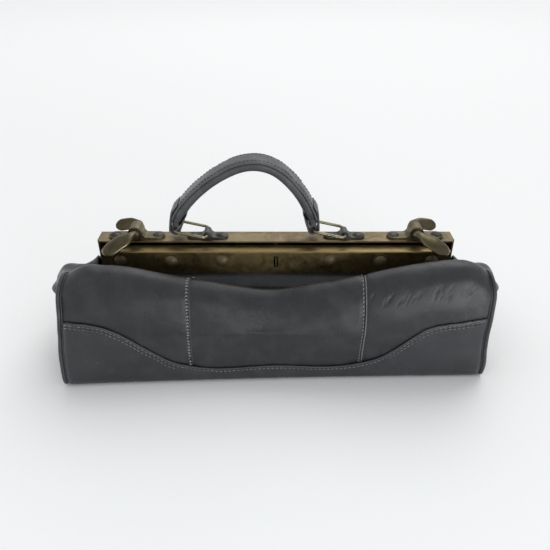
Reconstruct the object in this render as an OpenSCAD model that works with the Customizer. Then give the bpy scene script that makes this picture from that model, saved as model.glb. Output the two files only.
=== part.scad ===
// Doctor bag with a hinged brass frame, turning clips, a leather handle on rings
// and a soft leather body. Millimetres; the origin is the centre of the base on
// the floor, +X runs along the bag and +Y points to its back.

/* [Leather body] */
// Length of the base
base_w = 466; // [440:1:480]
// Depth of the base
base_d = 176; // [168:1:190]
// Thickness of the leather
leather_t = 2.5; // [2:0.1:3]
// Height of the upright part of the front and back
wall_h = 88; // [84:1:90]
// How far each end fold stands out past the base
ear_out = 16; // [8:1:18]
// Diameter of the piping along the corners
piping_d = 4.4; // [3.6:0.1:4.6]

/* [Frames] */
// Length of the rear frame
frame_w = 400; // [380:1:404]
// Height of the top of the rear frame above the floor
frame_h = 130; // [126:1:134]
// Thickness of the brass sheet
brass_t = 1.6; // [1.2:0.1:1.8]
// Height of the hinge pins above the floor
hinge_h = 60; // [56:1:64]
// Radius of the hinge pins
pin_r = 2.5; // [2:0.1:3]
// Radial clearance of every running fit
fit = 0.06; // [0.03:0.01:0.1]

/* [Clips] */
// Distance of each clip from the centre
clip_x = 157; // [150:1:160]
// Radius of the clip's shaft
shaft_r = 5.3; // [4.5:0.1:5.5]

/* [Handle] */
// Distance of each handle saddle from the centre
saddle_x = 77; // [74:1:80]
// Radius of the ring wire
wire_r = 1.7; // [1.4:0.1:2]
// Length of a ring between its two bars
ring_l = 36; // [32:1:38]
// Distance between the two side wires of a ring
ring_w = 28; // [26:1:30]
// Lean of the rings above the horizontal
ring_lean = 13; // [8:1:16]
// Height of the handle's arch above the rings
arch_h = 75; // [70:1:80]
// How far the arch leans to the right
arch_lean = 12; // [0:1:16]

/* [Hidden] */
$fn = 48;

LEATHER = [0.22, 0.225, 0.245];
BRASS = [0.42, 0.35, 0.22];
DARK_BRASS = [0.30, 0.26, 0.18];
LINING = [0.45, 0.40, 0.33];
WOOD_BOARD = [0.35, 0.30, 0.24];

// Leather body
half_d = base_d / 2;
ear_z = 88;
ear_share = 0.62;
fold_in = 12;
band_t = 2;
band_low = 21;
front_band_h = 82;
back_band_h = 40;
skin_y = half_d - band_t - 0.1;
seam_x = 92;
gap = 0.4;
bottom_lean = 8;
left_ridge = 130;
right_ridge = 136;
low_ridge = 98;
low_x = -14;
ridge_y = 57;
valley_y = 37;
valley_z = 88;
ridge_i = 6;
under_valley = [[-58, 102], [-51, 86], [-42, 79.5], [-30, 80], [-19.5, 84]];
back_wall_h = 44;
back_fold_y = 30;
back_mid_z = 92;
back_end_z = 71;
fold_top_z = 108;
lining_t = 1.3;
end_x = base_w / 2 - piping_d - 0.6;

// Frames
plate_back = 18;
plate_front = -5;
flange_top = frame_h - 6;
flange_back = -3;
face_y = 18;
face_bottom = 96.5;
front_w = frame_w - 14;
face_rivets_x = [-173, -116, -60, 60, 116, 173];
washer_x = [-116, 116];
rivet_z = 112;
dome_r = 7.2;
shank_r = 2;
nail_x = 131;
slot_w = 4.5;
slot_h = 14;
slot_z = 111;
blade_t = 1.5;
blade_h = 11.6;
strip_t = 1.4;
grip = 2.8;
strap_y = 6.5;

// Clips and saddles
clip_rivet = 24.5;
clip_strap_w = 16;
clip_strap_t = 2.5;
shaft_z = frame_h + 7.5;
shaft_half = 17.5;
handle_rivet = 16;
handle_strap_w = 14;
handle_strap_t = 2.2;
bar_z = frame_h + 5;
plate_dome_r = 6.6;

// Handle
ring_dx = ring_l * cos(ring_lean);
ring_dz = ring_l * sin(ring_lean);
arch_cx = -ring_dx;
arch_z = bar_z + ring_dz;
arch_first = 16;
handle_w = 28;
handle_t = 13;
loop_r = 7.5;

// ---------- functions ----------

// Smooth step from 0 at a to 1 at b
function smooth(a, b, x) = let (t = min(1, max(0, (x - a) / (b - a)))) t * t * (3 - 2 * t);

// Half length of the bag at height z
function half_w(z) = base_w / 2 - bottom_lean * smooth(0, 100, z);

// Height of the rolled leather's ridge at x: lowest near the middle
function ridge_z(x) = x < low_x
    ? low_ridge + (left_ridge - low_ridge) * smooth(low_x, -base_w / 2 + 12, x) ^ 0.8
    : low_ridge + (right_ridge - low_ridge) * smooth(low_x, base_w / 2 - 12, x) ^ 0.8;

// Outer surface of the front as [y, z]: an upright wall, a roll over the ridge,
// then a valley up to the lower edge of the front frame
function front_roll(x, a) = let (rz = ridge_z(x))
    a < 90
        ? [-ridge_y - (skin_y - ridge_y) * cos(a), wall_h + (rz - wall_h) * sin(a)]
        : [-valley_y - (ridge_y - valley_y) * (1 + cos(2 * (a - 90))) / 2,
            valley_z + (rz - valley_z) * (1 + cos(2 * (a - 90))) / 2];
function front_profile(x) = concat(
    [for (i = [0:3]) [-skin_y, leather_t + gap + (wall_h - leather_t - gap) * i / 3]],
    [for (a = [30:30:180]) front_roll(x, a)],
    [for (t = [0.5, 1]) [-valley_y + (valley_y - face_y - 0.6) * t,
        valley_z + (face_bottom - 1.2 - valley_z) * t ^ 2]]);

// Outer surface of the back: a low upright wall, then one slope up to the rear frame
function back_top(x) = back_mid_z - (back_mid_z - back_end_z) * smooth(140, base_w / 2 - 8, abs(x));
function back_profile(x) = let (bz = back_top(x)) concat(
    [for (i = [0:3]) [skin_y, leather_t + gap + (back_wall_h - leather_t - gap) * i / 3]],
    [for (a = [15:15:90]) [back_fold_y + (skin_y - back_fold_y) * cos(a),
        back_wall_h + (bz - back_wall_h) * sin(a)]],
    [for (t = [0.5, 1]) [back_fold_y + (face_y + 0.6 - back_fold_y) * t,
        bz + (min(face_bottom - 1.2, bz + 14) - bz) * t]]);
function profile(x, side) = side < 0 ? front_profile(x) : back_profile(x);

function cross_of(a, b) = cross(a, b) / max(0.0001, norm(cross(a, b)));
function grid_normal(g, i, j) = let (n = len(g) - 1, m = len(g[0]) - 1)
    cross_of(g[min(n, i + 1)][j] - g[max(0, i - 1)][j], g[i][min(m, j + 1)] - g[i][max(0, j - 1)]);

// A sheet of thickness t behind a grid of points; side picks which way it grows
module sheet(g, t, side) {
    n = len(g);
    m = len(g[0]);
    under = [for (i = [0:n - 1]) [for (j = [0:m - 1]) g[i][j] + side * t * grid_normal(g, i, j)]];
    points = concat([for (r = g) for (p = r) p], [for (r = under) for (p = r) p]);
    faces = concat(
        [for (i = [0:n - 2]) for (j = [0:m - 2])
            for (f = [[i * m + j, i * m + j + 1, (i + 1) * m + j + 1],
                [i * m + j, (i + 1) * m + j + 1, (i + 1) * m + j]]) f],
        [for (i = [0:n - 2]) for (j = [0:m - 2])
            for (f = [[i * m + j, (i + 1) * m + j + 1, i * m + j + 1],
                [i * m + j, (i + 1) * m + j, (i + 1) * m + j + 1]]) f + [n * m, n * m, n * m]],
        [for (j = [0:m - 2]) for (f = [[j, n * m + j, n * m + j + 1], [j, n * m + j + 1, j + 1]]) f],
        [for (j = [0:m - 2]) let (k = (n - 1) * m + j)
            for (f = [[k, n * m + k + 1, n * m + k], [k, k + 1, n * m + k + 1]]) f],
        [for (i = [0:n - 2]) let (a = i * m, b = (i + 1) * m)
            for (f = [[a, n * m + b, n * m + a], [a, b, n * m + b]]) f],
        [for (i = [0:n - 2]) let (a = i * m + m - 1, b = (i + 1) * m + m - 1)
            for (f = [[a, n * m + a, n * m + b], [a, n * m + b, b]]) f]);
    flip = side > 0 ? [for (f = faces) [f[2], f[1], f[0]]] : faces;
    polyhedron(points, flip, convexity = 6);
}

// A round tube of radius r along a path
module tube(path, r, sides) {
    n = len(path);
    ring_of = function (i)
        let (d = path[min(n - 1, i + 1)] - path[max(0, i - 1)],
            u = cross_of(d, [1, 0.02, 0]),
            v = cross_of(d, u))
        [for (k = [0:sides - 1]) path[i] + r * (u * cos(360 * k / sides) + v * sin(360 * k / sides))];
    points = [for (i = [0:n - 1]) for (p = ring_of(i)) p];
    walls = [for (i = [0:n - 2]) for (k = [0:sides - 1]) let (l = (k + 1) % sides)
        for (f = [[i * sides + k, i * sides + l, (i + 1) * sides + l],
            [i * sides + k, (i + 1) * sides + l, (i + 1) * sides + k]]) f];
    polyhedron(points, concat(walls, [[for (k = [sides - 1:-1:0]) k]],
        [[for (k = [0:sides - 1]) (n - 1) * sides + k]]), convexity = 6);
}

// Corner line of the body at one end, sunk by d behind the leather's outer face,
// and by deeper more where it nears the frame
function rim(end, side, d, deeper = 0) = let (p = profile(end * half_w(60), side), m = len(p))
    [for (i = [0:m - 1]) let (
            t = p[min(m - 1, i + 1)] - p[max(0, i - 1)],
            n = -side * [-t[1], t[0]] / norm(t),
            q = p[i] - (d + deeper * smooth(m - 7, m - 2, i)) * n)
        [end * half_w(min(q[1], 100)), q[0], q[1]]];

// Outer edge of an end fold as [y, z]; in front it dips under the valley behind the roll
function fold_edge(end, side) = let (r = rim(end, side, 6, 4), kept = len(r) - len(under_valley))
    [for (i = [0:len(r) - 1]) side < 0 && i >= kept
        ? [r[i][0], under_valley[i - kept][0], under_valley[i - kept][1]]
        : r[i]];

// Middle line of an end fold: out from the base to the ear, then in and up to the frame's end
function fold_line(end, m) = let (x0 = base_w / 2 - fold_in, x1 = base_w / 2 + ear_out, x2 = frame_w / 2 + 5)
    [for (i = [0:m - 1]) let (t = i / (m - 1), low = t < ear_share)
        [end * (low ? x0 + (x1 - x0) * smooth(0, ear_share, t) : x1 + (x2 - x1) * smooth(ear_share, 1, t)),
            0,
            low ? leather_t + gap + (ear_z - leather_t - gap) * (t / ear_share)
                : ear_z + (fold_top_z - ear_z) * smooth(ear_share, 1, t)]];

// ---------- leather body ----------

module base_board() {
    color(WOOD_BOARD) translate([0, 0, leather_t + 0.2]) linear_extrude(3) difference() {
        square([base_w - 36, base_d - 14], center = true);
        for (x = [-1, 1], y = [-1, 1]) translate([x * (base_w / 2 - 18), y * (half_d - 7)])
            rotate(45) square(10, center = true);
    }
}

// Height of a reinforcing band's upper edge at x, for a band that rises to top at its ends
function band_z(x, top) = band_low + (top - band_low) * smooth(80, base_w / 2 - 40, abs(x));

module base_wrap() {
    color(LEATHER) {
        translate([-base_w / 2, -half_d, 0]) cube([base_w, base_d, leather_t]);
        for (band = [[-half_d + band_t, front_band_h], [half_d, back_band_h]]) {
            top_x = half_w(band[1]) - piping_d - 0.6;
            translate([0, band[0], 0]) rotate([90, 0, 0]) linear_extrude(band_t)
                polygon(concat([[-end_x, 0]],
                    [for (i = [0:32]) let (x = -top_x + 2 * top_x * i / 32) [x, band_z(x, band[1])]],
                    [[end_x, 0]]));
        }
    }
}

// A body panel between two places along the bag, given as shares of the end's half length
module panel(x0, x1, steps, side) {
    g = [for (i = [0:steps]) let (x = x0 + (x1 - x0) * i / steps, p = profile(x, side))
        [for (j = [0:len(p) - 1]) let (
                lean = half_w(min(p[j][1], 100)) / (base_w / 2),
                tuck = side < 0 ? 1 - 0.07 * smooth(ridge_i, ridge_i + 2, j) : 1)
            [x * (abs(x) > seam_x + 1 ? lean * tuck : 1), p[j][0], p[j][1]]]];
    sheet(g, leather_t, side);
}

module front_panel_left() color(LEATHER) panel(-end_x, -seam_x - gap, 5, -1);
module front_panel_centre() color(LEATHER) panel(-seam_x + gap, seam_x - gap, 6, -1);
module front_panel_right() color(LEATHER) panel(seam_x + gap, end_x, 5, -1);
module back_panel_left() color(LEATHER) panel(-end_x, -seam_x - gap, 5, 1);
module back_panel_centre() color(LEATHER) panel(-seam_x + gap, seam_x - gap, 6, 1);
module back_panel_right() color(LEATHER) panel(seam_x + gap, end_x, 5, 1);

// An end panel: a sheet between the front corner line, the fold and the back corner line
module gusset(end) {
    edges = [for (side = [-1, 1]) let (r = fold_edge(end, side), m = len(r))
        [for (j = [0:m - 1]) let (
                inward = fold_in - 6 + (half_w(100) - frame_w / 2 - 10) * smooth(m - 5, m - 1, j))
            [r[j][0] - end * inward, r[j][1], r[j][2]]]];
    m = len(edges[0]);
    fold = fold_line(end, m);
    rows = 8;
    g = [for (i = [0:rows]) let (s = i / rows * 2 - 1, w = cos(90 * s) ^ 1.3)
        [for (j = [0:m - 1]) let (e = edges[s < 0 ? 0 : 1][j], f = fold[j])
            [e[0] + (f[0] - e[0]) * w, abs(s) * e[1], e[2] + (f[2] - e[2]) * w]]];
    sheet(g, leather_t, -end);
}

module gusset_left() color(LEATHER) gusset(-1);
module gusset_right() color(LEATHER) gusset(1);

module piping(end, side) {
    path = rim(end, side, leather_t / 2);
    last = side < 0 ? ridge_i : len(path) - 5;
    tube([for (i = [0:last]) [path[i][0] - end * (piping_d / 2 - 0.2), path[i][1], path[i][2]]],
        piping_d / 2, 8);
}

module piping_front_left() color(LEATHER) piping(-1, -1);
module piping_front_right() color(LEATHER) piping(1, -1);
module piping_back_left() color(LEATHER) piping(-1, 1);
module piping_back_right() color(LEATHER) piping(1, 1);

// Inner tub: its front wall is as high as the upright leather, the others are lower
module lining() {
    t = lining_t;
    w = base_w - 38;
    d = 2 * (skin_y - leather_t - 0.6);
    long_h = 76;
    end_h = 36;
    color(LINING) translate([0, 0, leather_t + 3.4]) difference() {
        translate([-w / 2, -d / 2, 0]) cube([w, d, long_h]);
        translate([-w / 2 + t, -d / 2 + t, t]) cube([w - 2 * t, d - 2 * t, long_h]);
        translate([-w / 2 - 1, -d / 2 + t, end_h]) cube([w + 2, d, long_h]);
    }
}

module hinge_pin() {
    color(DARK_BRASS) rotate([0, 90, 0]) {
        translate([0, 0, frame_w / 2 - 11]) cylinder(r = pin_r, h = 13.5);
        translate([0, 0, frame_w / 2 + 0.5]) cylinder(r = pin_r + 2, h = 2);
        translate([0, 0, frame_w / 2 - 13]) cylinder(r = pin_r + 2, h = 2);
    }
}

module hinge_pin_right() translate([0, 0, hinge_h]) hinge_pin();
module hinge_pin_left() translate([0, 0, hinge_h]) mirror([1, 0, 0]) hinge_pin();

// ---------- frames ----------

// End leg of a frame in the YZ plane, wide at the top and an eye at the pin
module leg(x, y0, y1, top) {
    eye_r = pin_r + 4;
    translate([x, 0, 0]) rotate([90, 0, 90]) linear_extrude(brass_t) difference() {
        union() {
            translate([0, hinge_h]) circle(r = eye_r);
            polygon([[y0, top], [y0, face_bottom], [-eye_r, hinge_h], [eye_r, hinge_h],
                [y1, face_bottom], [y1, top]]);
        }
        translate([0, hinge_h]) circle(r = pin_r + fit);
    }
}

module rear_frame() {
    w = frame_w;
    top = frame_h;
    color(BRASS) {
        difference() {
            union() {
                translate([-w / 2, plate_front, top - brass_t])
                    cube([w, plate_back - plate_front, brass_t]);
                translate([-w / 2, plate_back - brass_t, face_bottom])
                    cube([w, brass_t, top - face_bottom]);
            }
            for (x = [-w / 2, w / 2]) translate([x, plate_front, top - 3]) cylinder(r = 3, h = 4);
            for (x = face_rivets_x) translate([x, plate_back + 1, rivet_z])
                rotate([90, 0, 0]) cylinder(r = shank_r + fit, h = 5);
            for (s = [-1, 1], d = [-1, 1]) {
                translate([s * clip_x + d * clip_rivet, strap_y, top - 3])
                    cylinder(r = shank_r + fit, h = 5);
                translate([s * saddle_x + d * handle_rivet, strap_y, top - 3])
                    cylinder(r = shank_r + fit, h = 5);
            }
        }
        for (x = [-w / 2, w / 2 - brass_t]) leg(x, plate_front + 3.2, plate_back, top - 0.5);
    }
}

module front_frame() {
    w = front_w;
    color(BRASS) difference() {
        union() {
            translate([-w / 2, -face_y + 2, flange_top - brass_t])
                cube([w, face_y + flange_back - 2, brass_t]);
            translate([-w / 2, -face_y, face_bottom]) cube([w, brass_t, flange_top - 2 - face_bottom]);
            translate([-w / 2, -face_y + 2, flange_top - 2]) rotate([0, 90, 0]) rotate(90)
                rounded_edge(w);
            for (x = [-w / 2, w / 2 - brass_t]) leg(x, -face_y + 1, flange_back, flange_top - 1);
        }
        for (x = face_rivets_x) translate([x, -face_y + 3, rivet_z])
            rotate([90, 0, 0]) cylinder(r = shank_r + fit, h = 5);
        for (x = [-nail_x, nail_x]) translate([x, -face_y + 3, rivet_z + 1])
            rotate([90, 0, 0]) cylinder(r = 1.1, h = 5);
        translate([-slot_w / 2, -face_y - 1, slot_z - slot_h / 2]) cube([slot_w, 4, slot_h]);
    }
}

// Rounded edge between the front frame's flange and face, along +Z
module rounded_edge(w) {
    linear_extrude(w) intersection() {
        difference() {
            circle(r = 2);
            circle(r = 2 - brass_t);
        }
        translate([-2.5, 0]) square(2.5);
    }
}

// Strip that holds the leather behind a face at y
module clamp_strip(w, y) {
    translate([-w / 2, y, face_bottom + 1]) cube([w, strip_t, 22]);
}

module rear_clamp_strip() {
    color(DARK_BRASS) difference() {
        clamp_strip(front_w - 16, face_y - brass_t - grip - strip_t);
        for (x = face_rivets_x) translate([x, plate_back, rivet_z])
            rotate([90, 0, 0]) cylinder(r = shank_r + fit, h = 8);
    }
}

module front_clamp_strip() {
    color(DARK_BRASS) difference() {
        clamp_strip(front_w - 16, -face_y + brass_t + grip);
        for (x = face_rivets_x) translate([x, -face_y + 9, rivet_z])
            rotate([90, 0, 0]) cylinder(r = shank_r + fit, h = 9);
        translate([-slot_w / 2, -face_y, slot_z - slot_h / 2 - 1]) cube([slot_w, 9, slot_h + 2]);
    }
}

// Dome of radius r and height h standing on z = 0
module dome(r, h) {
    ball = (r * r + h * h) / (2 * h);
    intersection() {
        translate([0, 0, h - ball]) sphere(r = ball);
        cylinder(r = r, h = h + 1);
    }
}

// Rivet with its head on z = 0, a shank of length l below and a small tail
module rivet(r, h, l) {
    dome(r, h);
    translate([0, 0, -l]) cylinder(r = shank_r, h = l + 0.01);
    translate([0, 0, -l - 1]) cylinder(r = shank_r + 1.5, h = 1);
}

module front_face_rivets() {
    washer_t = 1;
    color(BRASS) for (x = face_rivets_x) {
        lift = len(search(x, washer_x)) > 0 ? washer_t : 0;
        translate([x, -face_y - lift, rivet_z]) rotate([90, 0, 0])
            rivet(dome_r, 3.2, brass_t + grip + strip_t + lift);
    }
}

module front_rivet_washers() {
    color(DARK_BRASS) for (x = washer_x) translate([x, -face_y, rivet_z]) rotate([90, 0, 0])
        difference() {
            cylinder(r = 9.2, h = 1);
            translate([0, 0, -1]) cylinder(r = shank_r + fit, h = 3);
        }
}

module rear_face_rivets() {
    color(BRASS) for (x = face_rivets_x) translate([x, face_y, rivet_z]) rotate([-90, 0, 0])
        rivet(dome_r, 3.2, brass_t + grip + strip_t);
}

module lock_staple() {
    color(DARK_BRASS) {
        translate([-blade_t / 2, -face_y + 0.3, slot_z - blade_h / 2]) cube([blade_t, face_y - 2, blade_h]);
        translate([-blade_t / 2, flange_back + 0.6, slot_z - blade_h / 2])
            cube([blade_t, 4, frame_h - brass_t - slot_z + blade_h / 2]);
        translate([-5, flange_back + 0.6, frame_h - brass_t - 1.5]) cube([10, 14, 1.5]);
    }
}

// ---------- saddles and clips ----------

// Strap riveted at both ends, with a rounded hump over a shaft of radius r at height z
module saddle(reach, width, t, r, z, flank) {
    outer = r + fit + t;
    foot = reach + plate_dome_r + 0.7;
    difference() {
        intersection() {
            translate([0, width / 2, 0]) rotate([90, 0, 0]) linear_extrude(width) difference() {
                offset(r = -flank) offset(delta = flank) union() {
                    translate([0, z]) circle(r = outer);
                    translate([-outer, 0]) square([2 * outer, z]);
                    translate([-foot, 0]) square([2 * foot, t]);
                }
                translate([0, z]) circle(r = r + fit);
                translate([-r - fit, -1]) square([2 * (r + fit), z + 1]);
            }
            linear_extrude(z + outer + 1) hull() for (d = [-1, 1])
                translate([d * (foot - width / 2), 0]) circle(d = width);
        }
        for (d = [-1, 1]) translate([d * reach, 0, -1]) cylinder(r = shank_r + fit, h = t + 2);
    }
}

module clip_saddle(side) {
    color(DARK_BRASS) translate([side * clip_x, strap_y, frame_h])
        saddle(clip_rivet, clip_strap_w, clip_strap_t, shaft_r, shaft_z - frame_h, 5);
}

module clip_saddle_left() clip_saddle(-1);
module clip_saddle_right() clip_saddle(1);

module clip_saddle_rivets() {
    color(BRASS) for (s = [-1, 1], d = [-1, 1])
        translate([s * clip_x + d * clip_rivet, strap_y, frame_h + clip_strap_t])
            rivet(plate_dome_r, 2.6, clip_strap_t + brass_t);
}

module handle_saddle(side) {
    color(DARK_BRASS) translate([side * saddle_x, strap_y, frame_h])
        saddle(handle_rivet, handle_strap_w, handle_strap_t, wire_r, bar_z - frame_h, 5);
}

module handle_saddle_left() handle_saddle(-1);
module handle_saddle_right() handle_saddle(1);

module handle_saddle_rivets() {
    color(BRASS) for (s = [-1, 1], d = [-1, 1])
        translate([s * saddle_x + d * handle_rivet, strap_y, frame_h + handle_strap_t])
            rivet(plate_dome_r, 2.4, handle_strap_t + brass_t);
}

// Points of the two lobes of a clip, from the shaft's end to the rounded tip
lobe_front = [[0, -shaft_half + 1, 0], [-11, -31, -4], [-20, -35.5, -8.5]];
lobe_rear = [[0, shaft_half - 1, 0], [-11, 22.5, -3], [-20, 25.5, -8]];
lobe_r = 8;

// One lobe of a clip: thick at the shaft, then a wide tongue that tips forwards
module lobe(p) {
    hull() {
        translate(p[0]) sphere(r = shaft_r - 0.4, $fn = 20);
        translate(p[1]) rotate([20, 0, 0]) scale([1, 1, 0.5]) sphere(r = lobe_r, $fn = 20);
    }
    hull() for (i = [1, 2])
        translate(p[i]) rotate([20, 0, 0]) scale([1, 1, 0.5]) sphere(r = lobe_r, $fn = 20);
}

module clip_lever(side) {
    color(BRASS) translate([side * clip_x, strap_y, shaft_z]) {
        rotate([90, 0, 0]) cylinder(r = shaft_r, h = 2 * shaft_half - 6, center = true);
        mirror([side > 0 ? 1 : 0, 0, 0]) {
            lobe(lobe_front);
            lobe(lobe_rear);
        }
    }
}

module clip_lever_left() clip_lever(-1);
module clip_lever_right() clip_lever(1);

// ---------- handle ----------

// Closed wire ring around a bar at the origin, reaching ring_l towards -X
module ring() {
    color(BRASS) rotate([0, ring_lean, 0]) {
        corner = 5;
        for (x = [0, -ring_l]) translate([x, 0, 0]) rotate([90, 0, 0])
            cylinder(r = wire_r, h = ring_w - 2 * corner, center = true);
        for (y = [-1, 1]) translate([-ring_l / 2, y * ring_w / 2, 0]) rotate([0, 90, 0])
            cylinder(r = wire_r, h = ring_l - 2 * corner, center = true);
        for (x = [0, 1], y = [0, 1])
            translate([-corner - x * (ring_l - 2 * corner), (y - 0.5) * (ring_w - 2 * corner), 0])
                mirror([x, 0, 0]) mirror([0, 1 - y, 0])
                    rotate_extrude(angle = 90) translate([corner, 0]) circle(r = wire_r, $fn = 32);
    }
}

module ring_left() translate([-saddle_x, strap_y, bar_z]) ring();
module ring_right() translate([saddle_x, strap_y, bar_z]) ring();

// Centre line of the handle's arch: it leans to the right, with a long slope on its left
function arch_point(a) = [
    arch_cx + saddle_x * cos(a) + arch_lean * sin(a) ^ 2 * (1 - cos(a)),
    strap_y,
    arch_z + arch_h * (0.72 * sin(a) + 0.28 * sin(a) ^ 2)
];

module handle_cover() {
    first = arch_first;
    last = 180 - arch_first;
    steps = 26;
    sides = 12;
    points = [for (i = [0:steps]) let (a = first + (last - first) * i / steps,
            d = arch_point(a + 1) - arch_point(a - 1),
            n = [-d[2], 0, d[0]] / norm(d))
        for (k = [0:sides - 1]) let (b = 360 * (k + 0.5) / sides)
            arch_point(a) - n * handle_t / 2 * (abs(sin(b)) ^ 0.8) * sign(sin(b))
                + [0, handle_w / 2 * (abs(cos(b)) ^ 0.7) * sign(cos(b)), 0]];
    walls = [for (i = [0:steps - 1]) for (k = [0:sides - 1]) let (l = (k + 1) % sides)
        for (f = [[i * sides + k, (i + 1) * sides + l, i * sides + l],
            [i * sides + k, (i + 1) * sides + k, (i + 1) * sides + l]]) f];
    color(LEATHER) polyhedron(points, concat(walls, [[for (k = [0:sides - 1]) k]],
        [[for (k = [sides - 1:-1:0]) steps * sides + k]]), convexity = 4);
}

// Leather loop around the ring's outer bar, which runs up to one end of the arch
module handle_loop(side) {
    x = arch_cx + side * saddle_x;
    w = ring_w - 12;
    end = side > 0 ? arch_first : 180 - arch_first;
    rise = arch_point(end + side) - arch_point(end - side);
    way = [rise[0], rise[2]] / norm(rise);
    across = [way[1], -way[0]] * loop_r;
    seat = [arch_point(end)[0] - x, arch_point(end)[2] - arch_z] - way * fit;
    color(LEATHER) translate([x, strap_y, arch_z]) rotate([90, 0, 0])
        linear_extrude(w, center = true) difference() {
            union() {
                circle(r = loop_r);
                polygon([[-loop_r, 0], [loop_r, 0], seat + across, seat - across]);
            }
            circle(r = wire_r + fit);
        }
}

module handle_loop_left() handle_loop(-1);
module handle_loop_right() handle_loop(1);

base_board();
base_wrap();
front_panel_left();
front_panel_centre();
front_panel_right();
back_panel_left();
back_panel_centre();
back_panel_right();
gusset_left();
gusset_right();
piping_front_left();
piping_front_right();
piping_back_left();
piping_back_right();
lining();
hinge_pin_left();
hinge_pin_right();
rear_frame();
rear_clamp_strip();
rear_face_rivets();
lock_staple();
clip_saddle_left();
clip_saddle_right();
clip_saddle_rivets();
handle_saddle_left();
handle_saddle_right();
handle_saddle_rivets();
front_frame();
front_clamp_strip();
front_face_rivets();
front_rivet_washers();
clip_lever_left();
clip_lever_right();
ring_left();
ring_right();
handle_cover();
handle_loop_left();
handle_loop_right();
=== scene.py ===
"""Doctor bag: aged leather body, brass frame, turning clips and a handle on rings, on the CAD frame."""

import math

import bmesh
import bpy
import numpy as np
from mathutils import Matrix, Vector


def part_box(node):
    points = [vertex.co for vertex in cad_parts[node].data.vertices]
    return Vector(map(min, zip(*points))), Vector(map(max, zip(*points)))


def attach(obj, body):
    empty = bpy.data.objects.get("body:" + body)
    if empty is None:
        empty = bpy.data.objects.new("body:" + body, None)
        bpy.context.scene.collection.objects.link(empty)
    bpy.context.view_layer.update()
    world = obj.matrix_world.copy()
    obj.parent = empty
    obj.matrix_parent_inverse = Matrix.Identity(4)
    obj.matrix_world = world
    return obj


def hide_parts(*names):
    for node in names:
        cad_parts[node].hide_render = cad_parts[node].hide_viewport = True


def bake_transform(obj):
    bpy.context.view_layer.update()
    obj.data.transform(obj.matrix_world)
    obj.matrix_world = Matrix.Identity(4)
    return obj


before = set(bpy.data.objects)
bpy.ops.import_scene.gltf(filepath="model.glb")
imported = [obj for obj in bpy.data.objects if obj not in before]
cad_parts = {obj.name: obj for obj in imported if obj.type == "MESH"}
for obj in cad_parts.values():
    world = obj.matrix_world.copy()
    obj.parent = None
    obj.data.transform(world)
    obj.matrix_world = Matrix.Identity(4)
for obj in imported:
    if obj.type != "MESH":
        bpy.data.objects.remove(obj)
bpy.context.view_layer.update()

rng = np.random.default_rng(7)

# ---------- sizes in metres ----------

FRAME_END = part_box("rear_frame")[1][0] + 0.0016     # where the leather reaches the frame's ends
FACE_BOTTOM = 0.0965                                # height of the frame edge that the leather tucks under
BODY_HALF = 0.2245                                  # nominal half length of the body
SEAM_X = 0.0923                                     # the two vertical seams
SEAM_SHARE = SEAM_X / BODY_HALF
SEAM_GAP = 0.0003 / BODY_HALF
LEATHER_T = 0.0025
BAND_T = 0.0022
BAND_LIFT = 0.0024                                  # the base wrap lies this far outside the panels
LINING_T = 0.0009
PIPING_R = 0.0022


# ---------- general helpers ----------

def smooth(a, b, x):
    t = np.clip((np.asarray(x, float) - a) / (b - a), 0, 1)
    return t * t * (3 - 2 * t)


def curve_through(points, x):
    """Smooth cubic through (x, value) pairs, flat past both ends."""
    px, pv = np.array(points, float).T
    slope = np.gradient(pv, px)
    x = np.clip(x, px[0], px[-1])
    i = np.clip(np.searchsorted(px, x) - 1, 0, len(px) - 2)
    h = px[i + 1] - px[i]
    t = (x - px[i]) / h
    return ((2 * t**3 - 3 * t**2 + 1) * pv[i] + (t**3 - 2 * t**2 + t) * h * slope[i]
            + (3 * t**2 - 2 * t**3) * pv[i + 1] + (t**3 - t**2) * h * slope[i + 1])


def catmull(points, n):
    """n points spaced evenly along a smooth curve through the given points."""
    p = np.array(points, float)
    p = np.vstack([2 * p[0] - p[1], p, 2 * p[-1] - p[-2]])
    fine = []
    for i in range(1, len(p) - 2):
        for t in np.linspace(0, 1, 24, endpoint=i == len(p) - 3):
            fine.append(0.5 * (2 * p[i] + (p[i + 1] - p[i - 1]) * t
                               + (2 * p[i - 1] - 5 * p[i] + 4 * p[i + 1] - p[i + 2]) * t * t
                               + (3 * p[i] - p[i - 1] - 3 * p[i + 1] + p[i + 2]) * t**3))
    return resample(np.array(fine), n)


def resample(line, n):
    """n points spaced evenly along a line of points."""
    along = np.concatenate([[0], np.cumsum(np.linalg.norm(np.diff(line, axis=0), axis=1))])
    want = np.linspace(0, along[-1], n)
    return np.stack([np.interp(want, along, line[:, k]) for k in range(line.shape[1])], 1)


def grid_normals(g):
    n = np.cross(np.gradient(g, axis=0), np.gradient(g, axis=1))
    return n / np.maximum(np.linalg.norm(n, axis=2, keepdims=True), 1e-12)


def noise(points, size, seed):
    """Soft seeded noise of about -1 to 1 with bumps of the given size."""
    pick = np.random.default_rng(seed)
    total = np.zeros(points.shape[:-1])
    for _ in range(9):
        way = pick.normal(size=3)
        way /= np.linalg.norm(way)
        total += np.sin(points @ way * (2 * math.pi / size) * pick.uniform(0.6, 1.5) + pick.uniform(0, 6.3))
    return total / 3.2


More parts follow.
